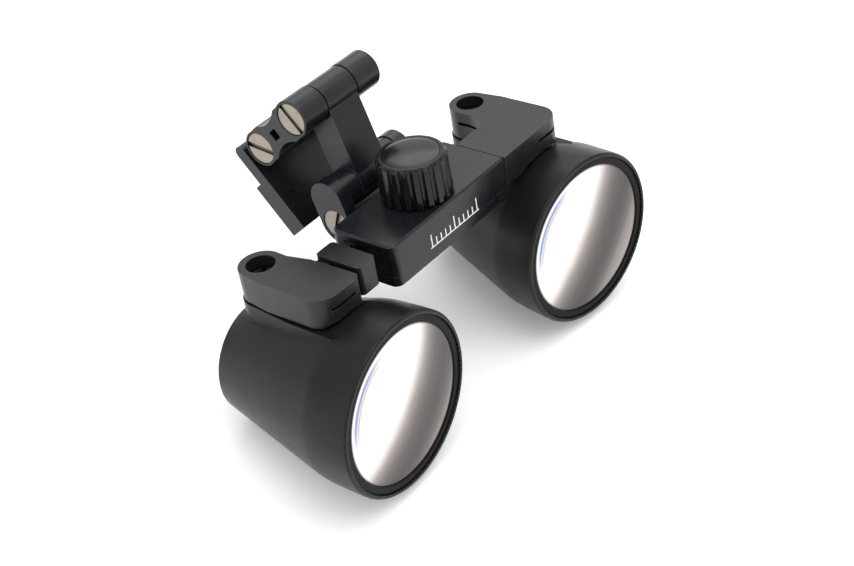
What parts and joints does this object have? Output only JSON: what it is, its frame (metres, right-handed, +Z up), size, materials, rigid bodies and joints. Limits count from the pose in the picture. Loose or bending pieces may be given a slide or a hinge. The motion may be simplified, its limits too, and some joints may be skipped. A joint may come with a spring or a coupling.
{
  "type": "dental loupes",
  "caption": "Flip-up binocular loupes: toed-in conical telescope barrels on sliding arms, a knob-driven central housing, and a three-hinge train up to a mount plate.",
  "frame": {"origin": "centre of the footprint, on the surface the two barrels rest on", "axes": "+X across the pair of barrels towards the right one, +Y to the rear (towards the wearer), +Z up"},
  "size_m": [0.0828, 0.0548, 0.046],
  "materials": {
    "matte_black": "fine matte texture",
    "barrel_black": "fine matte texture, slightly satin",
    "gloss_black": "satin to gloss",
    "ring_black": "matte",
    "steel": "turned, brushed slots",
    "brass_gear": "machined",
    "nylon": "natural nylon",
    "marking": "printed ink fill",
    "glass": "clear coated optical glass"
  },
  "bodies": {
    "housing": {"housing_body": "matte_black", "housing_cover": "matte_black", "cover_screws": "steel", "scale_marks": "marking", "washers_c": "nylon"},
    "knob": {"knob": "gloss_black", "knob_cap": "gloss_black", "pinion": "brass_gear", "knob_washer": "nylon"},
    "left_slide": {"left_rack": "matte_black", "left_arm": "matte_black"},
    "right_slide": {"right_rack": "matte_black", "right_arm": "matte_black"},
    "left_optic": {"left_barrel": "barrel_black", "left_front_ring": "ring_black", "left_objective": "glass", "left_baffle": "ring_black", "left_eyepiece": "glass", "left_eye_ring": "ring_black", "left_pivot_screw": "steel", "left_swivel_washer": "nylon"},
    "right_optic": {"right_barrel": "barrel_black", "right_front_ring": "ring_black", "right_objective": "glass", "right_baffle": "ring_black", "right_eyepiece": "glass", "right_eye_ring": "ring_black", "right_pivot_screw": "steel", "right_swivel_washer": "nylon"},
    "yoke": {"yoke": "matte_black", "screw_c": "steel"},
    "link": {"link": "matte_black", "screw_a": "steel", "screw_b": "steel", "washers_a": "nylon", "washers_b": "nylon"},
    "mount": {"mount_plate": "matte_black"}
  },
  "joints": [
    {"name": "left_arm_slide", "type": "slide", "parent": "housing", "child": "left_slide", "axis": [-1, 0, 0], "range_m": [0, 0.008]},
    {"name": "right_arm_slide", "type": "slide", "parent": "housing", "child": "right_slide", "axis": [1, 0, 0], "range_m": [0, 0.008]},
    {"name": "knob_turn", "type": "hinge", "parent": "housing", "child": "knob", "pos_m": [0.00046, -0.00417, 0.03234], "axis": [0, 0.2583, 0.9661], "range_deg": [0, 261.94]},
    {"name": "left_swivel", "type": "hinge", "parent": "left_slide", "child": "left_optic", "pos_m": [-0.02704, 0.00546, 0.02976], "axis": [0, 0.2583, 0.9661], "range_deg": [-3, 3]},
    {"name": "right_swivel", "type": "hinge", "parent": "right_slide", "child": "right_optic", "pos_m": [0.02796, 0.00546, 0.02976], "axis": [0, 0.2583, 0.9661], "range_deg": [-3, 3]},
    {"name": "yoke_hinge", "type": "hinge", "parent": "housing", "child": "yoke", "pos_m": [0.00046, 0.00488, 0.02593], "axis": [1, 0, 0], "range_deg": [-90, 18]},
    {"name": "upper_hinge", "type": "hinge", "parent": "yoke", "child": "link", "pos_m": [0.00046, 0.01511, 0.04263], "axis": [1, 0, 0], "range_deg": [-5, 120]},
    {"name": "plate_hinge", "type": "hinge", "parent": "link", "child": "mount", "pos_m": [0.00046, 0.02168, 0.03301], "axis": [1, 0, 0], "range_deg": [-10, 90]}
  ],
  "couplings": [
    {"joint": "right_arm_slide", "follows": "left_arm_slide", "ratio": 1},
    {"joint": "knob_turn", "follows": "left_arm_slide", "rad_per_m": 571.43}
  ]
}
